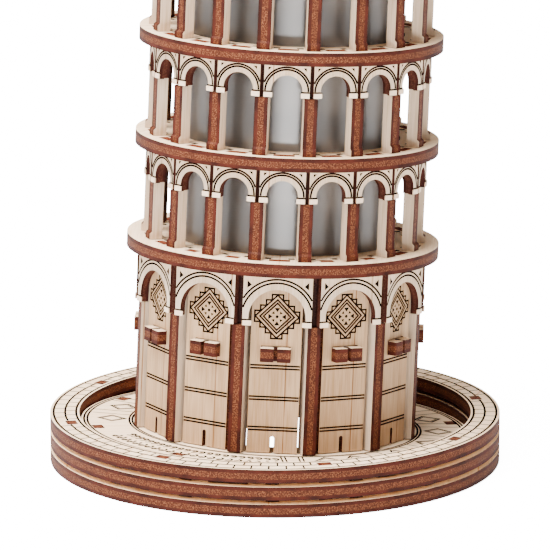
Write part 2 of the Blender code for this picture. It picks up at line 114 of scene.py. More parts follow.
def basswood(name, pale, deep, streak, streak_pitch, streak_place=0.0):
    """Sanded basswood veneer. The grain runs along the sheet's v axis, and UVs are in centimetres.

    A thin brown mineral streak comes back once in each streak_pitch, wandering a little.
    """
    material, tree, shader = finish(name)
    sheet = add(tree, "ShaderNodeTexCoord").outputs["UV"]
    # Each figure of the wood has so many grains per centimetre across and along it.
    figure = {}
    for kind, across, along, detail in (
        ("fibres", 22.0, 0.7, 3.0), ("tone", 4.0, 0.25, 2.0), ("cloud", 0.7, 0.35, 2.0),
        ("wander", 0.05, 0.35, 1.0), ("strength", 0.2, 0.5, 1.0),
    ):
        stretched = add(tree, "ShaderNodeMapping", [
            ("Vector", sheet), ("Scale", (across, along, 1.0))])
        figure[kind] = add(tree, "ShaderNodeTexNoise", [
            ("Vector", stretched), ("Scale", 1.0), ("Detail", detail), ("Roughness", 0.6)])
    tone = add(tree, "ShaderNodeMath", [(0, figure["tone"]), (1, 0.40)], operation="MULTIPLY")
    both = add(tree, "ShaderNodeMath", [(0, figure["fibres"]), (1, 0.60), (2, tone)],
               operation="MULTIPLY_ADD")
    wood = add(tree, "ShaderNodeValToRGB", [("Fac", both)], [(0.38, deep), (0.58, pale)])
    shade = add(tree, "ShaderNodeMapRange", [
        ("Value", figure["cloud"]), ("From Min", 0.45), ("From Max", 0.75), ("To Max", 0.35)])
    worn = add(tree, "ShaderNodeMix", [(0, shade), (6, wood), (7, deep)], data_type="RGBA")
    # The streak wanders this many centimetres from side to side, and is up to half a millimetre
    # wide.
    wander = 0.04
    sheet_x = add(tree, "ShaderNodeSeparateXYZ", [(0, sheet)])
    bent = add(tree, "ShaderNodeMath", [(0, figure["wander"]), (1, wander), (2, sheet_x)],
               operation="MULTIPLY_ADD")
    centred = add(tree, "ShaderNodeMath", [(0, bent), (1, streak_place + wander / 2)],
                  operation="SUBTRACT")
    off = add(tree, "ShaderNodeMath", [(0, centred), (1, streak_pitch / 2)], operation="PINGPONG")
    thin = add(tree, "ShaderNodeMapRange", [
        ("Value", off), ("From Min", 0.010), ("From Max", 0.024), ("To Min", 1.0), ("To Max", 0.0)])
    strength = add(tree, "ShaderNodeMapRange", [
        ("Value", figure["strength"]), ("From Min", 0.38), ("From Max", 0.52), ("To Min", 0.25),
        ("To Max", 0.85)])
    share = add(tree, "ShaderNodeMath", [(0, thin), (1, strength)], operation="MULTIPLY")
    colour = add(tree, "ShaderNodeMix", [(0, share), (6, worn.outputs[2]), (7, streak)],
                 data_type="RGBA")
    tree.links.new(colour.outputs[2], shader.inputs["Base Color"])
    rough = add(tree, "ShaderNodeMapRange", [
        ("Value", figure["fibres"]), ("From Min", 0.2), ("From Max", 0.8), ("To Min", 0.50),
        ("To Max", 0.66)])
    tree.links.new(rough.outputs[0], shader.inputs["Roughness"])
    shader.inputs["IOR"].default_value = 1.5
    shader.inputs["Specular IOR Level"].default_value = 0.15
    bump = add(tree, "ShaderNodeBump", [
        ("Height", figure["fibres"]), ("Strength", 0.12), ("Distance", 0.0001)])
    tree.links.new(bump.outputs[0], shader.inputs["Normal"])
    return material


def burnt_edge(name, ply, core, char):
    """Laser-cut edge of the board. UV's v runs across the three plies from 0 to 1."""
    material, tree, shader = finish(name)
    coordinates = add(tree, "ShaderNodeTexCoord")
    across = add(tree, "ShaderNodeSeparateXYZ", [(0, coordinates.outputs["UV"])])
    # Open pores of the core's end grain, about 0.25 mm: pale flecks and dark pits on the burnt
    # wood.
    specks = add(tree, "ShaderNodeTexNoise", [
        ("Vector", coordinates.outputs["Object"]), ("Scale", 3000.0), ("Detail", 1.0)])
    smoke = add(tree, "ShaderNodeTexNoise", [
        ("Vector", coordinates.outputs["Object"]), ("Scale", 170.0), ("Detail", 3.0)])
    grain = add(tree, "ShaderNodeValToRGB", [("Fac", specks)],
                [(0.36, core[0]), (0.52, core[1]), (0.70, core[2])])
    outer = add(tree, "ShaderNodeValToRGB", [("Fac", smoke)], [(0.35, ply[0]), (0.65, ply[1])])
    # The seams between the plies waver by this share of the edge's width.
    waver = 0.08
    wobble = add(tree, "ShaderNodeMath", [(0, smoke), (1, waver), (2, across.outputs["Y"])],
                 operation="MULTIPLY_ADD")
    centred = add(tree, "ShaderNodeMath", [(0, wobble), (1, 0.5 + waver / 2)],
                  operation="SUBTRACT")
    distance = add(tree, "ShaderNodeMath", [(0, centred)], operation="ABSOLUTE")
    # Where the core ends and an outer ply begins, from the middle of the edge.
    seam = (0.205, 0.245)
    outwards = add(tree, "ShaderNodeMapRange", [
        ("Value", distance), ("From Min", seam[0]), ("From Max", seam[1])])
    plies = add(tree, "ShaderNodeMix", [(0, outwards), (6, grain), (7, outer)], data_type="RGBA")
    rim = add(tree, "ShaderNodeMapRange", [
        ("Value", distance), ("From Min", 0.40), ("From Max", 0.50), ("To Max", 0.55)])
    rubbed = add(tree, "ShaderNodeMix", [(0, rim), (6, plies.outputs[2]), (7, char)],
                 data_type="RGBA")
    tree.links.new(rubbed.outputs[2], shader.inputs["Base Color"])
    shader.inputs["Roughness"].default_value = 0.66
    shader.inputs["Specular IOR Level"].default_value = 0.10
    bump = add(tree, "ShaderNodeBump", [
        ("Height", specks), ("Strength", 0.35), ("Distance", 0.0002)])
    tree.links.new(bump.outputs[0], shader.inputs["Normal"])
    return material


def engraving(name, dark, light):
    """A shallow laser line: charred wood, a little uneven along its length."""
    material, tree, shader = finish(name)
    coordinates = add(tree, "ShaderNodeTexCoord")
    char = add(tree, "ShaderNodeTexNoise", [
        ("Vector", coordinates.outputs["Object"]), ("Scale", 900.0), ("Detail", 2.0)])
    colour = add(tree, "ShaderNodeValToRGB", [("Fac", char)], [(0.35, dark), (0.70, light)])
    tree.links.new(colour.outputs[0], shader.inputs["Base Color"])
    shader.inputs["Roughness"].default_value = 0.95
    shader.inputs["Specular IOR Level"].default_value = 0.02
    return material


rim_veneer = basswood("sanded_basswood_rim", "#F8DBB8", "#E8C299", "#C98F5E", 6.1)
wall_veneer = basswood("sanded_basswood_wall", "#C29F7B", "#A6825D", "#6E401E", 2.9, 0.32)
board_edge = burnt_edge("laser_cut_board_edge", ("#2E1009", "#4A1D12"),
                        ("#3C1C0F", "#562B19", "#7E4C31"), "#1B0905")
# Painted shade: a darker copy of the cut edge, for the fins' and posts' edges in the shaded gap
# between the arch plates.
shadow_edge = burnt_edge("board_edge_painted_shade", ("#1C0C09", "#2C1510"),
                         ("#26120D", "#301813", "#3B211B"), "#120706")
plate_veneer = basswood("sanded_basswood_plates", "#D8BFA5", "#C0A587", "#8A5E3A", 5.3)
dark_line = engraving("laser_engraved_line", "#070302", "#160B06")

board = base_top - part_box("rim_ring_top")[0].z
engraved_lift = 0.00003
sheet_unit = 100.0      # UV units in a metre: one is a centimetre
# Material slots of a piece of board: its faces, its cut edges, what is burnt into it, and one more
# where a piece needs it. On fins and posts the third slot holds the painted shade of the edge
# between the arch plates.
face_slot, edge_slot, burn_and_shade_slot, extra_slot = range(4)


def arc(radius, start, end, steps, centre=(0.0, 0.0)):
    """Points from start to end, in radians, both ends included."""
    return [(centre[0] + radius * math.cos(start + (end - start) * k / steps),
             centre[1] + radius * math.sin(start + (end - start) * k / steps))
            for k in range(steps + 1)]


def circle(radius, steps, centre=(0.0, 0.0)):
    return arc(radius, 0.0, 2 * math.pi, steps, centre)[:-1]


def slot_at(radius, angle, depth, width):
    """A rectangle on a radius: depth along it and width across it."""
    turn = Matrix.Rotation(angle, 2)
    corners = ((-0.5, -0.5), (0.5, -0.5), (0.5, 0.5), (-0.5, 0.5))
    return [tuple(turn @ Vector((radius + u * depth, v * width))) for u, v in corners]


def blank(loops, thickness, grain_turn=0.0, grain_shift=0.0, height=0.0):
    """A cut sheet lying flat: the first loop is its outline, the others are holes.

    Faces carry the grain in UV, and cut edges the plies across v.
    """
    shape = bmesh.new()
    for loop in loops:
        corners = [shape.verts.new((x, y, height)) for x, y in loop]
        for corner, following in zip(corners, corners[1:] + corners[:1]):
            shape.edges.new((corner, following))
    bmesh.ops.triangle_fill(shape, use_beauty=True, use_dissolve=False, edges=shape.edges[:])
    grown = bmesh.ops.extrude_face_region(shape, geom=shape.faces[:])["geom"]
    raised = [part for part in grown if isinstance(part, bmesh.types.BMVert)]
    bmesh.ops.translate(shape, verts=raised, vec=(0.0, 0.0, thickness))
    bmesh.ops.recalc_face_normals(shape, faces=shape.faces)
    uv = shape.loops.layers.uv.new("sheet")
    grain = Matrix.Rotation(grain_turn, 2)
    for face in shape.faces:
        flat = abs(face.normal.z) > 0.5
        face.material_index = face_slot if flat else edge_slot
        face.smooth = not flat
        for corner in face.loops:
            if flat:
                place = grain @ corner.vert.co.xy * sheet_unit
                corner[uv].uv = (place.x + grain_shift, place.y + grain_shift * 3)
            else:
                corner[uv].uv = (0.0, (corner.vert.co.z - height) / thickness)
    return shape


def engrave(shape, points, width, height, slot=burn_and_shade_slot, closed=False):
    """A laser line of this width along points, lying on a face at this height."""
    uv = shape.loops.layers.uv.verify()
    sharpest = 0.4      # keeps a mitre short where the line turns back on itself
    path = [Vector(point) for point in points]
    count = len(path)
    sides = []
    for k, point in enumerate(path):
        before = path[k - 1] if closed or k else point
        after = path[(k + 1) % count] if closed or k < count - 1 else point
        into = (point - before).normalized() if point != before else (after - point).normalized()
        onward = (after - point).normalized() if after != point else into
        across = Vector((-(into + onward).y, (into + onward).x)).normalized()
        reach = width / 2 / max(sharpest, across.dot(Vector((-onward.y, onward.x))))
        sides.append([shape.verts.new((*(point + across * reach), height)),
                      shape.verts.new((*(point - across * reach), height))])
    pairs = zip(sides, sides[1:] + (sides[:1] if closed else []))
    for (left, right), (next_left, next_right) in pairs:
        face = shape.faces.new((right, next_right, next_left, left))
        face.material_index = slot
        for corner in face.loops:
            corner[uv].uv = (0.0, 0.0)


def engrave_patch(shape, points, height):
    """A small burnt area, such as a dot or a triangle. Points run anticlockwise."""
    face = shape.faces.new([shape.verts.new((x, y, height)) for x, y in points])
    face.material_index = burn_and_shade_slot


def copy_into(shape, other, place):
    """Add other, moved by place, to shape, and let go of it."""
    other.transform(place)
    mesh = bpy.data.meshes.new("part_of_piece")
    other.to_mesh(mesh)
    other.free()
    shape.from_mesh(mesh)
    bpy.data.meshes.remove(mesh)


def piece(name, shape, materials, slot, *nodes, place):
    """Hand a finished bmesh over, at its place, as a named piece that stands for its CAD nodes."""
    shape.transform(place)
    mesh = bpy.data.meshes.new(name)
    shape.to_mesh(mesh)
    shape.free()
    mesh.set_sharp_from_angle(angle=math.radians(35))
    for material in materials:
        mesh.materials.append(material)
    made = bpy.data.objects.new(name, mesh)
    bpy.context.scene.collection.objects.link(made)
    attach(made, "root")
    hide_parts(*nodes)


# ---------------------------------------------------------------------------------------------
# Base rim: three equal rings of board with an air gap between them. The top one is engraved with
# two staggered courses of bricks, and the ribs' fingers come up through its eight slots.
# ---------------------------------------------------------------------------------------------
rim_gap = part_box("rim_ring_middle")[0].z - board
rim_width = 0.0087
rim_inner = base_radius - rim_width
rib_count = 8
first_rib = 14.9        # degrees
rib_angles = [math.radians(first_rib + 360 / rib_count * k) for k in range(rib_count)]
finger_radius = 0.0623
finger_depth = 0.0029
fit = 0.0003
rim_steps = 192
hole_steps = 96

finger_slots = [slot_at(finger_radius, a, finger_depth + fit, board + fit) for a in rib_angles]
rim_loops = [circle(base_radius, rim_steps), circle(rim_inner, rim_steps), *finger_slots]
for level, level_name in enumerate(("bottom", "middle")):
    node = "rim_ring_" + level_name
    ring = blank(rim_loops, board, grain_turn=0.9 * level, grain_shift=3.0 * level)
    piece(node + "_board", ring, [rim_veneer, board_edge], "rim_board", node,
          place=Matrix.Translation((0, 0, level * (board + rim_gap))))

top_ring = blank(rim_loops, board, grain_turn=0.3, grain_shift=7.0)
brick_lines = (0.06645, 0.0630, 0.0597)
course_line = 0.00070
crossed_line = 0.00066      # the course line that the fingers come up through
joint_line = 0.00050
face_height = board + engraved_lift
for radius in brick_lines:
    if abs(radius - finger_radius) < finger_depth / 2 + fit:
        half_gap = (board / 2 + fit) / radius
        for angle in rib_angles:
            run = arc(radius, angle + half_gap, angle + 2 * math.pi / rib_count - half_gap, 24)
            engrave(top_ring, run, crossed_line, face_height)
    else:
        engrave(top_ring, circle(radius, rim_steps), course_line, face_height, closed=True)
bricks = 80
for course in range(2):
    outer, inner = brick_lines[course], brick_lines[course + 1]
    for k in range(bricks):
        angle = 2 * math.pi * (k + 0.5 * course) / bricks
        clear = min(abs((angle - a + math.pi) % (2 * math.pi) - math.pi) for a in rib_angles)
        if clear < (board / 2 + fit) / inner:
            continue
        ends = [(r * math.cos(angle), r * math.sin(angle)) for r in (inner, outer)]
        engrave(top_ring, ends, joint_line, face_height)
piece("rim_ring_top_board", top_ring, [rim_veneer, board_edge, dark_line], "rim_board",
      "rim_ring_top", place=Matrix.Translation((0, 0, base_top - board)))


# ---------------------------------------------------------------------------------------------
# Spacer rings: thin burnt card between the rim rings, with lugs that reach out towards the edge
# and show as short dark dashes in the gaps. The CAD solids already have the right shape.
# ---------------------------------------------------------------------------------------------
def finish_node(node, material):
    """Give a CAD node's own solid a better material."""
    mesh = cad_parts[node].data
    mesh.materials.clear()
    mesh.materials.append(material)


burnt_card = engraving("laser_burnt_card", "#1E100B", "#3B2118")
finish_node("spacer_ring_lower", burnt_card)
finish_node("spacer_ring_upper", burnt_card)


# ---------------------------------------------------------------------------------------------
# Ribs: eight plates on edge under the floor, each cut to its own height so that the floor leans.
# A finger goes up through the rim and a tab through the floor, and both show burnt ends.
# ---------------------------------------------------------------------------------------------
lean = math.radians(3.7)
lean_heading = math.radians(51.4)
floor_drop = 0.0046
floor_z = base_top - floor_drop
tip_axis = Vector((-math.sin(lean_heading), math.cos(lean_heading), 0.0))
tower = Matrix.Translation((0, 0, floor_z)) @ Matrix.Rotation(lean, 4, tip_axis)
floor_tab_radius = 0.0543
floor_tab_depth = 0.0027
upright = Matrix.Rotation(math.pi / 2, 4, "X")


def turned(angle):
    return Matrix.Rotation(angle, 4, "Z")


def floor_top(radius, angle):
    return floor_z - radius * math.tan(lean) * math.cos(angle - lean_heading)


rib_inner = 0.0335
shoulder = rim_inner - fit
finger = (finger_radius - finger_depth / 2, finger_radius + finger_depth / 2)
tab = (floor_tab_radius - floor_tab_depth / 2, floor_tab_radius + floor_tab_depth / 2)
# From the floor's top down to a rib's top edge, which is level across and clears the tilted floor.
under_floor = board / math.cos(lean) + board / 2 * math.tan(lean) + fit
for number, angle in enumerate(rib_angles, start=1):
    tab_top = floor_top(floor_tab_radius, angle)
    outline = [
        (rib_inner, 0.0), (finger[1], 0.0), (finger[1], base_top), (finger[0], base_top),
        (finger[0], board), (shoulder, board), (shoulder, floor_top(shoulder, angle) - under_floor),
        (tab[1], floor_top(tab[1], angle) - under_floor), (tab[1], tab_top), (tab[0], tab_top),
        (tab[0], floor_top(tab[0], angle) - under_floor),
        (rib_inner, floor_top(rib_inner, angle) - under_floor),
    ]
    rib = blank([outline], board, grain_shift=number)
    stand = turned(angle) @ Matrix.Translation((0, board / 2, 0)) @ upright
    piece("rib_%02d_board" % number, rib, [rim_veneer, board_edge], "burnt_board",
          "rib_%02d" % number, place=stand)


# ---------------------------------------------------------------------------------------------
# Leaning floor: a disc of board sunk inside the rim, engraved as paving. Each panel of the
# paving holds a lozenge, and a band of plain scrolls runs along the front.
# ---------------------------------------------------------------------------------------------
floor_radius = 0.0582
lamp_hole = 0.0310
ground_bays = 12
half_bay = math.pi / ground_bays
fin_inner = 0.0370
fin_tab_depth = 0.0032
fin_tab_radius = fin_inner + fin_tab_depth / 2 + fit
bay_angles = [-math.pi / 2 + 2 * math.pi * k / ground_bays for k in range(ground_bays)]
fin_angles = [a + half_bay for a in bay_angles]
floor_holes = [circle(lamp_hole, hole_steps)]
for angle in rib_angles:
    middle = Vector((floor_tab_radius * math.cos(angle), floor_tab_radius * math.sin(angle),
                     floor_top(floor_tab_radius, angle) - board / 2))
    middle = tower.inverted() @ middle
    floor_holes.append(slot_at(middle.xy.length, math.atan2(middle.y, middle.x),
                               floor_tab_depth + 2 * fit, board + 2 * fit))
floor_holes += [slot_at(fin_tab_radius, a, fin_tab_depth + fit, board + fit) for a in fin_angles]
floor = blank([circle(floor_radius, rim_steps), *floor_holes], board, grain_turn=1.2,
              grain_shift=11.0, height=-board)
paving_height = engraved_lift
paving_circles = (0.0574, 0.0564, 0.0438, 0.0429)
paving_band = (0.0441, 0.0560)
circle_line, border_line, band_line = 0.00066, 0.00050, 0.00052
heavy_line, light_line = 0.00072, 0.00034
for radius in paving_circles:
    engrave(floor, circle(radius, rim_steps), circle_line, paving_height, closed=True)


def at_angle(angle, points):
    """Points given as (radius, distance across it), with the radius at this angle."""
    turn = Matrix.Rotation(angle, 2)
    return [tuple(turn @ Vector(point)) for point in points]


def across_paving(angle, offset, width):
    """A straight line across the band of paving, set off to one side of this angle."""
    ends = at_angle(angle, [(reach, offset) for reach in paving_band])
    engrave(floor, ends, width, paving_height)


paving_panels = 18
kept_panels = 13
first_panel = math.radians(-58.7)
band_end = math.radians(-82.2)
front_lozenge = math.radians(-69.7)
scroll_start, scroll_end = math.radians(-153), math.radians(-87)
lozenge_radius = 0.0490
lozenge_long, lozenge_wide = 0.0041, 0.0040
# The band of scrolls takes the place of four panels, and the front lozenge that of a fifth.
panels = [first_panel + 2 * math.pi * k / paving_panels for k in range(kept_panels)]
for middle in panels + [front_lozenge]:
    for scale, weight in ((1.0, heavy_line), (0.74, light_line)):
        lozenge = [
            (lozenge_radius + lozenge_long * scale, 0), (lozenge_radius, lozenge_wide * scale),
            (lozenge_radius - lozenge_long * scale, 0), (lozenge_radius, -lozenge_wide * scale),
        ]
        engrave(floor, at_angle(middle, lozenge), weight, paving_height, closed=True)
for middle in panels[:-1]:
    for offset in (-0.0023, 0.0023):
        across_paving(middle + math.pi / paving_panels, offset, border_line)
for offset in (-0.0032, -0.0020, 0.0020, 0.0032):
    across_paving(band_end, offset, band_line)
# Two rows of running scrolls: each is a hook that curls in on itself, with a dot in its eye.
scrolls = 22
scroll_reach = 0.0017
scroll_squeeze = 0.75
scroll_steps = 10
scroll_eye = 0.00055
for row_radius, hand in ((0.0476, 1), (0.0527, -1)):
    for k in range(scrolls):
        angle = scroll_start + (scroll_end - scroll_start) * (k + 0.5) / scrolls
        curl = []
        for step in range(scroll_steps + 1):
            swing = step / scroll_steps * 1.5 * math.pi
            reach = scroll_reach * (1 - step / (2 * scroll_steps))
            curl.append((row_radius + hand * reach * math.cos(swing),
                         reach * scroll_squeeze * math.sin(swing)))
        engrave(floor, at_angle(angle, curl), heavy_line, paving_height)
        eye = circle(scroll_eye, 8, at_angle(angle, [(row_radius, 0.0)])[0])
        engrave_patch(floor, eye, paving_height)
piece("leaning_floor_board", floor, [rim_veneer, board_edge, dark_line], "floor_board",
      "leaning_floor", place=tower)


# ---------------------------------------------------------------------------------------------
# Wall fins: twelve pilasters of board set on edge, so that their burnt plies face outwards. Each
# is cut back behind the arch plates.
# ---------------------------------------------------------------------------------------------
def shade_edge_above(plate, height):
    """The edge between two arch plates gets painted shade: its edge faces above this height take
    the darker edge material.
    """
    for face in plate.faces:
        if face.material_index == edge_slot and face.calc_center_median().y > height:
            face.material_index = burn_and_shade_slot


ground_height = 0.0538
fin_outer = 0.0429
arch_foot = 0.0387
panel_face = 0.0403
fin_notch = (panel_face - fit - board / 2 * math.sin(half_bay)) / math.cos(half_bay)
fin_tab = (fin_tab_radius - fin_tab_depth / 2, fin_tab_radius + fin_tab_depth / 2)
fin_outline = [
    (fin_tab[0], -board), (fin_tab[1], -board), (fin_tab[1], fit), (fin_outer, fit),
    (fin_outer, arch_foot - fit), (fin_notch, arch_foot - fit), (fin_notch, ground_height - fit),
    (fin_inner, ground_height - fit), (fin_inner, fit), (fin_tab[0], fit),
]
for number, angle in enumerate(fin_angles, start=1):
    fin = blank([fin_outline], board, grain_shift=1.7 * number)
    # Painted shade on the fin's edge above the arch foot, between the arch plates.
    shade_edge_above(fin, arch_foot)
    stand = tower @ turned(angle) @ Matrix.Translation((0, board / 2, 0)) @ upright
    piece("wall_fin_%02d_board" % number, fin, [plate_veneer, board_edge, shadow_edge],
          "burnt_board", "wall_fin_%02d" % number, place=stand)


# ---------------------------------------------------------------------------------------------
# Wall panels: thin board between the fins, with a slit at the foot, a window for the snap hooks,
# three double lines and a stepped lozenge engraved under the arch.
# ---------------------------------------------------------------------------------------------
thin_board = 0.0025
panel_width = 0.0149
slit = 0.0012
slit_height = 0.0052
hook_low = 0.0280
hook_neck = 0.0040
window_side = hook_neck + fit
window_low, window_high = hook_low - fit, hook_low + board + fit
side = panel_width / 2
panel_outline = [(-side, fit), (-slit / 2, fit)]
panel_outline += arc(slit / 2, math.pi, 0.0, 10, (0.0, slit_height - slit / 2))
panel_outline += [(slit / 2, fit), (side, fit), (side, ground_height - fit),
                  (-side, ground_height - fit)]
hook_window = [(-window_side, window_low), (window_side, window_low),
               (window_side, window_high), (-window_side, window_high)]
line_margin = 0.0001
double_line, double_gap = 0.00052, 0.0009
double_line_heights = (0.0075, 0.0166, 0.0260)
fine_line = 0.00050
lozenge_centre = 0.0411
lozenge_step = 0.00164
lozenge_rings = (0.0064, 0.0050, 0.0040)
lozenge_dot = 0.00046
lozenge_marks = ((0.00082, 0.0021), (0.00052, 0.0015))      # size and distance, taken by turns


def stepped_lozenge():
    """Corners of a lozenge whose four sides go down in four steps."""
    quarter = []
    for k in range(4):
        quarter += [((k + 1) * lozenge_step, (4 - k) * lozenge_step),
                    ((k + 1) * lozenge_step, (3 - k) * lozenge_step)]
    quarter = quarter[:-1]
    half = quarter + [(x, -y) for x, y in reversed(quarter)]
    return half + [(-x, y) for x, y in reversed(half)]


def wall_panel(number):
    panel = blank([panel_outline, hook_window], thin_board, grain_shift=2.9 * number)
    top = thin_board + engraved_lift
    for height in double_line_heights:
        for offset in (-double_gap / 2, double_gap / 2):
            line = [(line_margin - side, height + offset), (side - line_margin, height + offset)]
            engrave(panel, line, double_line, top)
    frame_line = [(x, y + lozenge_centre) for x, y in stepped_lozenge()]
    engrave(panel, frame_line, fine_line, top, closed=True)
    for reach in lozenge_rings:
        ring = [(reach, 0), (0, reach), (-reach, 0), (0, -reach)]
        engrave(panel, [(x, y + lozenge_centre) for x, y in ring], fine_line, top, closed=True)
    engrave_patch(panel, circle(lozenge_dot, 10, (0.0, lozenge_centre)), top)
    for k in range(8):
        turn = Matrix.Rotation(k * math.pi / 4, 2)
        size, reach = lozenge_marks[k % 2]
        mark = [(reach - size * 0.9, 0.0), (reach + size * 0.6, -size), (reach + size * 0.6, size)]
        corners = [turn @ Vector(point) for point in mark]
        engrave_patch(panel, [(c.x, c.y + lozenge_centre) for c in corners], top)
    return panel


# ---------------------------------------------------------------------------------------------
# Arch plates: over each panel's head, glued to it, with a round arch, two engraved rings that run
# off its sides, a tall triangle in each corner, and a capital at each foot.
# ---------------------------------------------------------------------------------------------
arch_face = 0.0428
arch_line = 0.00056
capital_depth = 0.00035
neck_line, neck_rise = 0.00052, 0.0002


def arch_plate(number, width, foot, radius, stilt, top, depth, rings, capital, triangle):
    """An arch plate lying flat, with a capital at each foot.

    The arch's centre is a stilt above its foot. Rings are the engraved radii, capital is a
    capital's width and height, and triangle is the mark in the right-hand corner.
    """
    centre = (0.0, foot + stilt)
    half = width / 2
    outline = [(half, top), (-half, top), (-half, foot), (-radius, foot)]
    outline += arc(radius, math.pi, 0.0, 40, centre)
    outline += [(radius, foot), (half, foot)]
    plate = blank([outline], depth, grain_shift=2.1 * number + 0.4)
    face = depth + engraved_lift
    for ring in rings:
        start = math.acos(min(1.0, (half - line_margin) / ring))
        engrave(plate, arc(ring, start, math.pi - start, 48, centre), arch_line, face)
    engrave_patch(plate, [(x, y + centre[1]) for x, y in triangle], face)
    engrave_patch(plate, [(-x, y + centre[1]) for x, y in reversed(triangle)], face)
    cap_width, cap_height = capital
    cap_top = foot + cap_height
    for hand in (-1, 1):
        low = [(-half, foot), (cap_width - half, foot), (cap_width - half, cap_top),
               (-half, cap_top)]
        block = blank([[(hand * x, y) for x, y in low]], capital_depth, grain_shift=number,
                      height=depth)
        for cap_face in block.faces:
            cap_face.material_index = extra_slot
        copy_into(plate, block, Matrix.Identity(4))
        neck = [(hand * half, cap_top + neck_rise),
                (hand * (half - cap_width), cap_top + neck_rise)]
        engrave(plate, neck, neck_line, face)
    return plate


# Painted shade: the arch plates' cut edges take a darker copy of the edge, for their soffits in
# shade under the arches.
soffit_edge = burnt_edge("arch_edge_painted_shade", ("#30130C", "#45201A"),
                         ("#3A1B13", "#4A271D", "#5C362A"), "#1C0A06")
capital_veneer = basswood("sanded_basswood_capital", "#FFE0C2", "#F2D0AE", "#D9B08A", 9.0)
plate_materials = [plate_veneer, soffit_edge, dark_line, capital_veneer]
ground_triangle = [(0.0077, 0.0097), (0.0090, 0.0087), (0.0090, 0.0110)]
for number, angle in enumerate(bay_angles, start=1):
    bay = tower @ turned(angle + math.pi / 2)
    piece("wall_panel_%02d" % number, wall_panel(number), [wall_veneer, board_edge, dark_line],
          "wall_board", "wall_bay_%02d" % number,
          place=bay @ Matrix.Translation((0, thin_board - panel_face, 0)) @ upright)
    plate = arch_plate(number, width=0.0203, foot=arch_foot, radius=0.0084, stilt=0.0024,
                       top=ground_height - fit, depth=thin_board, rings=(0.01045, 0.0115),
                       capital=(0.0027, 0.0014), triangle=ground_triangle)
    piece("wall_arch_%02d" % number, plate, plate_materials, "wall_board",
          "wall_bay_%02d" % number,
          place=bay @ Matrix.Translation((0, thin_board - arch_face, 0)) @ upright)


# ---------------------------------------------------------------------------------------------
# Snap disc: one disc inside the ground storey, whose twelve double hooks spring through the
# windows of the panels and catch on their faces.
# ---------------------------------------------------------------------------------------------
disc_radius = 0.0355
disc_hole = 0.0240
hook_head = 0.0045
hook_bevel = 0.0003
hook_reach = 0.0030
hook_end = panel_face + hook_reach
# The split between a hook's two prongs, and the round hole at its root.
half_split = 0.00055
root_radius = 0.0009
root_start = 0.65
root_depth = 0.0022
clear_of_hook = 0.16        # radians from a hook's middle to the disc's round edge
prong = [(math.sqrt(disc_radius ** 2 - hook_neck ** 2), hook_neck), (panel_face + fit, hook_neck),
         (panel_face + fit, hook_head), (hook_end - hook_bevel, hook_head),
         (hook_end, hook_head - hook_bevel), (hook_end, half_split)]
prong += arc(root_radius, root_start, math.pi, 6, (hook_end - root_depth, 0.0))
hook = [(x, -y) for x, y in prong[:-1]] + list(reversed(prong))
disc_outline = []
for angle in bay_angles:
    turn = Matrix.Rotation(angle, 2)
    disc_outline += [tuple(turn @ Vector(point)) for point in hook]
    disc_outline += arc(disc_radius, angle + clear_of_hook,
                        angle + 2 * math.pi / ground_bays - clear_of_hook, 6)
snap_disc = blank([disc_outline, circle(disc_hole, hole_steps)], board, grain_shift=5.0)
piece("snap_disc_board", snap_disc, [rim_veneer, board_edge], "burnt_board", "snap_disc",
      place=tower @ Matrix.Translation((0, 0, hook_low)))


# ---------------------------------------------------------------------------------------------
# Cornices: seven rings of board between the storeys. Their tops show burnt tab ends, one in the
# middle of each gallery bay, and two short slots behind every post.
# ---------------------------------------------------------------------------------------------
galleries = 6
gallery_bays = 18
gallery_height = 0.02715
storey_pitch = gallery_height + board
first_top = ground_height + board
gallery_face = 0.0414
overhang = 0.0038
film_radius = 0.0330
well_hole = 0.0200
gallery_angles = [-math.pi / 2 + 2 * math.pi * k / gallery_bays for k in range(gallery_bays)]
post_angles = [a + math.pi / gallery_bays for a in gallery_angles]
tab_end = engraving("burnt_tab_end", "#4A2116", "#7E4430")
core_post_radius = 0.0295
core_post_angles = [math.radians(-118.3 + 120 * k) for k in range(3)]
tab_end_radius, tab_end_depth = 0.0402, 0.0029
tab_end_width, narrow_tab_end = 0.0062, 0.0042
post_slot_ends = (0.0364, 0.0382)
post_slot_offset, post_slot_width = 0.0031, 0.0019
for level in range(galleries + 1):
    radius = (arch_face if level == 0 else gallery_face) + overhang
    if level in (0, galleries):
        holes = [circle(well_hole, hole_steps)]
        holes += [slot_at(core_post_radius, a, board + fit, board + fit) for a in core_post_angles]
    else:
        holes = [circle(film_radius + 2 * fit, hole_steps)]
    cornice = blank([circle(radius, rim_steps), *holes], board, grain_turn=0.5 * level,
                    grain_shift=4.0 * level)
    top = board + engraved_lift
    for k, angle in enumerate(gallery_angles):
        width = tab_end_width if level or k % 3 == 0 else narrow_tab_end
        engrave_patch(cornice, slot_at(tab_end_radius, angle, tab_end_depth, width), top)
    for angle in post_angles:
        for offset in (-post_slot_offset, post_slot_offset):
            mark = at_angle(angle, [(reach, offset) for reach in post_slot_ends])
            engrave(cornice, mark, post_slot_width, top, slot=extra_slot)
    piece("cornice_ring_%d_board" % (level + 1), cornice,
          [rim_veneer, board_edge, tab_end, dark_line], "cornice_board",
          "cornice_ring_%d" % (level + 1),
          place=tower @ Matrix.Translation((0, 0, ground_height + level * storey_pitch)))


# ---------------------------------------------------------------------------------------------
# Galleries: eighteen posts of board on edge round each storey, each with a small plinth, and
# eighteen arch plates between their heads.
# ---------------------------------------------------------------------------------------------
plate_depth = 0.0035
plate_stilt = 0.0019
plate_capital = (0.0025, 0.0014)
plate_triangle = [(0.0046, 0.0069), (0.0056, 0.0059), (0.0056, 0.0069)]
post_notch = 0.0022     # how far a post's head is cut back behind the arch plates
post_bed = 0.0001       # joint under a post
shaft_setback = 0.0003
plinth_reach = 0.0004
plinth_side, plinth_top = 0.0018, 0.0024


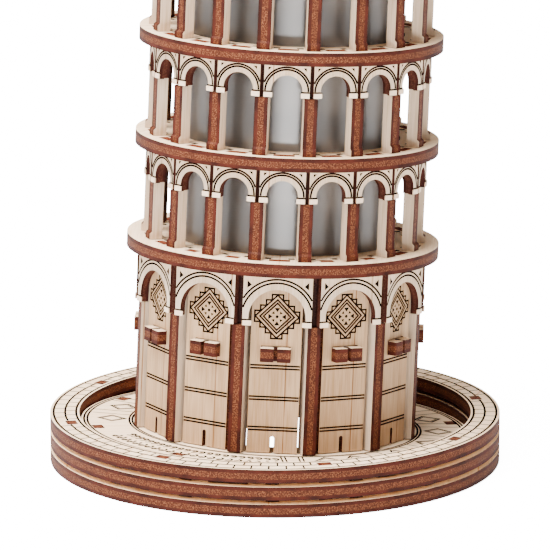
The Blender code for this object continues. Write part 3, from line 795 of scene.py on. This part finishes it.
def arcade(name, node, bays, face, height, foot, radius, width, z, rings):
    """One storey of posts and arch plates, as two pieces that stand for one CAD node."""
    half_turn = math.pi / bays
    corner = face / math.cos(half_turn)
    inner = (face - plate_depth) / math.cos(half_turn)
    shaft = corner - shaft_setback
    notch = corner - post_notch
    outline = [(inner, post_bed), (corner + plinth_reach, post_bed),
               (corner + plinth_reach, plinth_side), (shaft, plinth_top), (shaft, foot - fit),
               (notch, foot - fit), (notch, height - fit), (inner, height - fit)]
    posts = bmesh.new()
    plates = bmesh.new()
    storey = tower @ Matrix.Translation((0, 0, z))
    for k in range(bays):
        angle = -math.pi / 2 + 2 * math.pi * k / bays
        post = blank([outline], board, grain_shift=1.1 * k)
        # Painted shade on the post's edge above the arch foot, between the arch plates.
        shade_edge_above(post, foot)
        stand = turned(angle + half_turn) @ Matrix.Translation((0, board / 2, 0)) @ upright
        copy_into(posts, post, stand)
        plate = arch_plate(k, width, foot, radius, plate_stilt, height - fit, plate_depth, rings,
                           plate_capital, plate_triangle)
        stand = Matrix.Translation((0, plate_depth - face, 0)) @ upright
        copy_into(plates, plate, turned(angle + math.pi / 2) @ stand)
    piece(name + "_posts", posts, [plate_veneer, board_edge, shadow_edge], "arcade_board", node,
          place=storey)
    piece(name + "_arches", plates, plate_materials, "arcade_board", node, place=storey)


for level in range(galleries):
    arcade("gallery_%d" % (level + 1), "gallery_arcade_%d" % (level + 1), gallery_bays,
           gallery_face, height=gallery_height, foot=0.0173, radius=0.0046, width=0.0134,
           z=first_top + level * storey_pitch, rings=(0.0063, 0.0070))


# ---------------------------------------------------------------------------------------------
# Diffuser: a sheet of frosted film rolled into a tube inside the galleries, and three core posts
# behind it that show through as blurred brown bars.
# ---------------------------------------------------------------------------------------------
def frosted_film():
    """Matt drafting film: it lets a blurred light through, and its colour is a grey darker than the
    film itself, painted shade for the unlit inside of the tower.
    """
    material, tree, shader = finish("frosted_drafting_film")
    coordinates = add(tree, "ShaderNodeTexCoord")
    cloud = add(tree, "ShaderNodeTexNoise", [
        ("Vector", coordinates.outputs["Object"]), ("Scale", 60.0), ("Detail", 2.0)])
    # Painted shade: a dark grey that stands for the unlit inside of the tower.
    colour = add(tree, "ShaderNodeValToRGB", [("Fac", cloud)], [(0.3, "#8A817A"), (0.7, "#968E87")])
    tree.links.new(colour.outputs[0], shader.inputs["Base Color"])
    shader.inputs["Roughness"].default_value = 0.28
    shader.inputs["IOR"].default_value = 1.15
    shader.inputs["Transmission Weight"].default_value = 0.85
    shader.inputs["Coat Weight"].default_value = 1.0
    shader.inputs["Coat Roughness"].default_value = 0.28
    return material


film = frosted_film()
film_thickness = 0.0006
film_steps = 128
well_low = first_top + fit
well_high = first_top + galleries * storey_pitch - board - fit
tube = blank([circle(film_radius, film_steps), circle(film_radius - film_thickness, film_steps)],
             well_high - well_low)
piece("diffuser_film", tube, [film, film], "frosted_film", "diffuser_tube",
      place=tower @ Matrix.Translation((0, 0, well_low)))
post_length = galleries * storey_pitch + board
half = board / 2
for number, angle in enumerate(core_post_angles, start=1):
    post = blank([[(-half, 0.0), (half, 0.0), (half, post_length), (-half, post_length)]], board)
    stand = (tower @ turned(angle + math.pi / 2)
             @ Matrix.Translation((0, half - core_post_radius, ground_height)) @ upright)
    piece("core_post_%d_board" % number, post, [board_edge, board_edge], "burnt_board",
          "core_post_%d" % number, place=stand)


# ---------------------------------------------------------------------------------------------
# Belfry: a smaller arcade of twelve bays on the top cornice, under a ring of board.
# ---------------------------------------------------------------------------------------------
belfry_z = first_top + galleries * storey_pitch
belfry_bays = 12
belfry_height = 0.0285
belfry_face = 0.0290
roof_hole = 0.0120
roof_line = 0.0004
arcade("belfry", "belfry_arcade", belfry_bays, belfry_face, height=belfry_height, foot=0.0175,
       radius=0.0048, width=0.0138, z=belfry_z, rings=(0.0064, 0.0071))
roof = blank([circle(belfry_face + overhang, rim_steps), circle(roof_hole, hole_steps)], board,
             grain_turn=0.7)
for radius in (0.0310, 0.0150):
    engrave(roof, circle(radius, rim_steps), roof_line, board + engraved_lift, closed=True)
piece("belfry_roof_board", roof, [rim_veneer, board_edge, dark_line], "cornice_board",
      "belfry_roof", place=tower @ Matrix.Translation((0, 0, belfry_z + belfry_height)))


# ---------------------------------------------------------------------------------------------
# Studio: a white table and a white room, a soft light from the front left, a larger one overhead,
# and a bright card on the table in front, which gives the film its highlight. The table and the
# room look pure white, but light the model only gently.
# ---------------------------------------------------------------------------------------------
white_seen = 14.0
table_light = 0.5
room_light = 0.42


def white_glow(tree, lighting):
    """Strength of a white surface: pure white to the eye, and this much as light."""
    looked_at = add(tree, "ShaderNodeLightPath").outputs["Is Camera Ray"]
    strength = add(tree, "ShaderNodeMapRange", [
        ("Value", looked_at), ("To Min", lighting), ("To Max", white_seen)])
    return strength.outputs[0]


def light_table(name):
    material, tree, shader = finish(name)
    shader.inputs["Base Color"].default_value = linear("#F4F4F4")
    shader.inputs["Roughness"].default_value = 0.9
    shader.inputs["Emission Color"].default_value = linear("#FFFFFF")
    tree.links.new(white_glow(tree, table_light), shader.inputs["Emission Strength"])
    return material


sweep = bmesh.new()
bmesh.ops.create_grid(sweep, x_segments=1, y_segments=1, size=4.0)
sweep_mesh = bpy.data.meshes.new("studio_floor")
sweep.to_mesh(sweep_mesh)
sweep.free()
studio_floor = bpy.data.objects.new("studio_floor", sweep_mesh)
studio_floor.data.materials.append(light_table("white_light_table"))
bpy.context.scene.collection.objects.link(studio_floor)

world = bpy.data.worlds.new("white_room")
bpy.context.scene.world = world
world.use_nodes = True
room = world.node_tree.nodes["Background"]
room.inputs["Color"].default_value = linear("#FFFFFF")
world.node_tree.links.new(white_glow(world.node_tree, room_light), room.inputs["Strength"])


def softbox(name, place, target, size, watts):
    """A square light of this size in metres, at a place and facing a target."""
    light = bpy.data.lights.new(name, "AREA")
    light.shape = "SQUARE"
    light.size = size
    light.energy = watts
    lamp = bpy.data.objects.new(name, light)
    lamp.location = place
    lamp.rotation_euler = (Vector(target) - Vector(place)).to_track_quat("-Z", "Y").to_euler()
    bpy.context.scene.collection.objects.link(lamp)


softbox("key_softbox", (-0.9, -1.1, 0.8), (0, 0, 0.08), 0.8, 8.5)
softbox("overhead_softbox", (-0.35, -0.25, 1.5), (0, 0, 0.05), 1.0, 118.0)
softbox("table_card", (0.03, -0.70, 0.004), (0.03, -0.70, 1.0), 0.26, 20.0)
